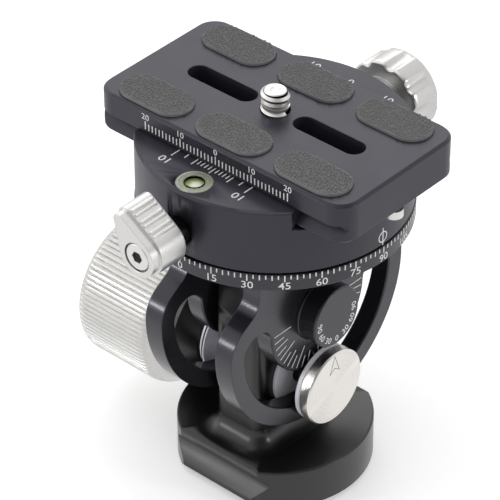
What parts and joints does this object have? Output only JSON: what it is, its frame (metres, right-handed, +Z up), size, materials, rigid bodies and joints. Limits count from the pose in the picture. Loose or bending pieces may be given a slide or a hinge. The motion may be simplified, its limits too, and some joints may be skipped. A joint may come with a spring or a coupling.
{
  "type": "monopod tilt head",
  "caption": "Tilt head for a monopod: round base with a threaded socket, slotted-cheek yoke locked by a ridged knob, panning dovetail clamp with a wing lever, and a camera plate.",
  "frame": {"origin": "centre of the socket's mouth in the flat underside of the base", "axes": "+Z up through the pan axis, +X along the tilt axis towards the index disc, the ridged lock knob at -X; -Y is the front with the bubble level and the wing lever, +Y has the clamp knob"},
  "size_m": [0.0782, 0.088, 0.0984],
  "materials": {
    "black_anodised": "satin black anodised",
    "silver_anodised": "satin clear anodised",
    "spun_steel": "spun, with fine rings",
    "bright_steel": "machined bright",
    "black_steel": "black oxide",
    "brass": "machined",
    "pad_rubber": "moulded with small bumps",
    "low_friction_polymer": "smooth",
    "level_spirit": "coloured spirit",
    "level_window": "clear"
  },
  "bodies": {
    "base": {"base_block": "black_anodised", "base_thread_insert": "brass", "tilt_bushes": "brass", "pivot_washers": "black_steel", "friction_washers": "bright_steel", "lock_bolt": "black_steel", "index_disc": "spun_steel", "index_flange": "silver_anodised", "lock_washers": "black_steel", "knob_washer": "silver_anodised"},
    "tilt_knob": {"tilt_knob": "silver_anodised", "tilt_knob_insert": "brass", "tilt_knob_cap": "silver_anodised"},
    "yoke": {"yoke": "black_anodised", "tilt_pivot_pin": "black_steel", "tilt_dial": "black_anodised", "pivot_cap": "black_anodised", "pan_spindle": "bright_steel", "pan_thrust_washer": "low_friction_polymer", "pan_retaining_washer": "bright_steel", "pan_screw": "black_steel"},
    "clamp": {"clamp_body": "black_anodised", "jaw_guide_pins": "bright_steel", "jaw_springs": "bright_steel", "pan_lock_shoe": "brass", "level_cup": "bright_steel", "level_vial": "level_spirit", "level_lens": "level_window"},
    "jaw": {"moving_jaw": "black_anodised"},
    "clamp_knob": {"clamp_knob": "silver_anodised", "clamp_screw": "black_steel", "clamp_knob_washer": "black_anodised"},
    "pan_lever": {"pan_lock_stem": "black_steel", "pan_lock_lever": "silver_anodised", "lever_cap_screw": "bright_steel"},
    "plate": {"quick_release_plate": "black_anodised", "grip_pads": "pad_rubber", "safety_stop_screws": "bright_steel", "screw_retaining_clip": "black_steel"},
    "camera_screw": {"camera_screw": "bright_steel"}
  },
  "joints": [
    {"name": "tilt", "type": "hinge", "parent": "base", "child": "yoke", "pos_m": [0, 0, 0.0469], "axis": [1, 0, 0], "range_deg": [-90, 90]},
    {"name": "tilt_lock", "type": "hinge", "parent": "base", "child": "tilt_knob", "pos_m": [0, 0, 0.0272], "axis": [-1, 0, 0], "range_deg": [0, 360]},
    {"name": "pan", "type": "hinge", "parent": "yoke", "child": "clamp", "pos_m": [0, 0, 0.072], "axis": [0, 0, 1], "continuous": true},
    {"name": "pan_lock", "type": "hinge", "parent": "clamp", "child": "pan_lever", "pos_m": [0, -0.0434, 0.0784], "axis": [0, -1, 0], "range_deg": [0, 100]},
    {"name": "jaw_slide", "type": "slide", "parent": "clamp", "child": "jaw", "axis": [0, 1, 0], "range_m": [0, 0.003]},
    {"name": "clamp_turn", "type": "hinge", "parent": "jaw", "child": "clamp_knob", "pos_m": [0, 0.036, 0.0773], "axis": [0, 1, 0], "range_deg": [0, 1200]},
    {"name": "plate_slide", "type": "slide", "parent": "clamp", "child": "plate", "axis": [1, 0, 0], "range_m": [-0.02, 0.02]},
    {"name": "camera_screw_turn", "type": "hinge", "parent": "plate", "child": "camera_screw", "pos_m": [0, 0, 0.0934], "axis": [0, 0, 1], "continuous": true}
  ],
  "couplings": [
    {"joint": "clamp_turn", "follows": "jaw_slide", "rad_per_m": 6283.2}
  ]
}
